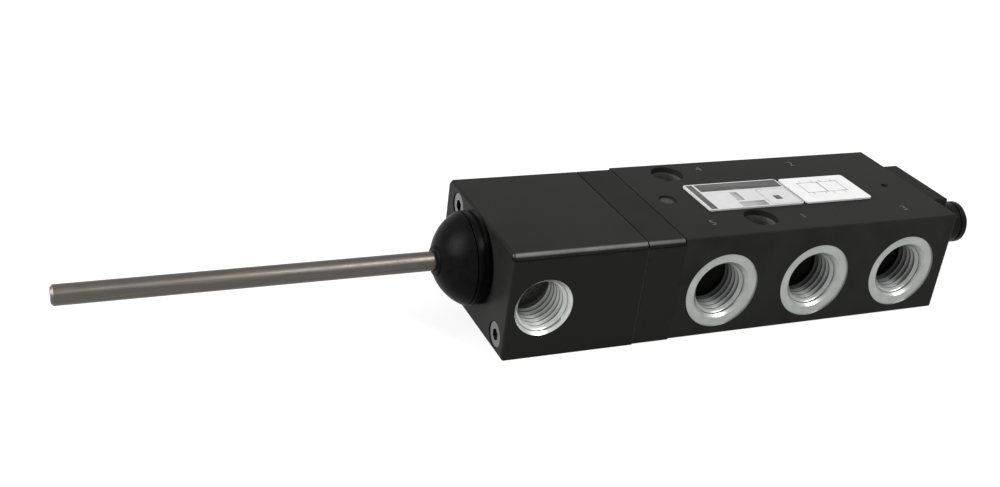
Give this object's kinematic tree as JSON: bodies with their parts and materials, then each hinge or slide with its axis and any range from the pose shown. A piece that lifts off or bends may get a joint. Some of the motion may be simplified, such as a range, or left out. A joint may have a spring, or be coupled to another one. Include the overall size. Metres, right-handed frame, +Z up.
{
  "type": "mechanically actuated valve",
  "caption": "Long block-shaped spool valve worked by tilting a straight whisker rod, with threaded ports in its sides and a push-button override at the far end.",
  "frame": {"origin": "on the flat bottom face, straight below the middle front port and halfway across the width", "axes": "+X from the whisker's tip to the override button, -Y is the front face with the main ports, +Z up"},
  "size_m": [0.2255, 0.0385, 0.0258],
  "materials": {
    "black_anodised": "satin black anodised, bare metal on the rings around the ports and inside them",
    "gasket": "matt",
    "printed_plate": "satin printed foil",
    "porous_bronze": "sintered",
    "bare_aluminium": "ground",
    "rubber": "matt",
    "boot_rubber": "matt moulded",
    "spring_wire": "drawn",
    "stainless_steel": "drawn, satin",
    "screw_steel": "zinc plated",
    "button_plastic": "satin",
    "brass": "turned"
  },
  "bodies": {
    "valve": {"actuator_housing": "black_anodised", "adapter_plate": "black_anodised", "valve_body": "black_anodised", "end_cap": "black_anodised", "housing_gasket": "gasket", "adapter_gasket": "gasket", "cap_gasket": "gasket", "port_plate": "printed_plate", "symbol_plate": "printed_plate", "breather": "porous_bronze", "spool_sleeve": "bare_aluminium", "sleeve_rings": "rubber", "return_spring": "spring_wire", "spring_seat": "stainless_steel", "button_ring": "rubber", "button_spring": "spring_wire", "pivot_bushing": "brass", "seat_ring": "rubber", "centring_spring": "spring_wire", "bleed_orifice": "brass", "clamp_screws": "screw_steel", "cap_screws": "screw_steel"},
    "boot": {"boot": "boot_rubber"},
    "whisker": {"whisker_rod": "stainless_steel", "whisker_flange": "stainless_steel"},
    "spool": {"spool": "bare_aluminium", "pilot_piston": "bare_aluminium", "piston_ring": "rubber"},
    "button": {"override_button": "button_plastic"}
  },
  "joints": [
    {"name": "whisker_sideways", "type": "hinge", "parent": "valve", "child": "boot", "pos_m": [-0.071, 0, 0.0149], "axis": [0, 0, 1], "range_deg": [-6.5, 6.5], "stiffness_Nm_per_rad": 1, "deforming": ["boot", "seat_ring", "centring_spring"]},
    {"name": "whisker_up_down", "type": "hinge", "parent": "boot", "child": "whisker", "pos_m": [-0.071, 0, 0.0149], "axis": [0, 1, 0], "range_deg": [-6.5, 6.5], "stiffness_Nm_per_rad": 1, "deforming": ["boot", "seat_ring", "centring_spring"]},
    {"name": "spool_shift", "type": "slide", "parent": "valve", "child": "spool", "axis": [-1, 0, 0], "range_m": [0, 0.004], "stiffness_N_per_m": 600, "springref_m": -0.004, "deforming": ["return_spring"]},
    {"name": "button_push", "type": "slide", "parent": "valve", "child": "button", "axis": [-1, 0, 0], "range_m": [0, 0.004], "stiffness_N_per_m": 500, "springref_m": -0.004, "deforming": ["button_spring"]}
  ],
  "couplings": [
    {"joint": "spool_shift", "follows": "button_push", "ratio": 1}
  ]
}
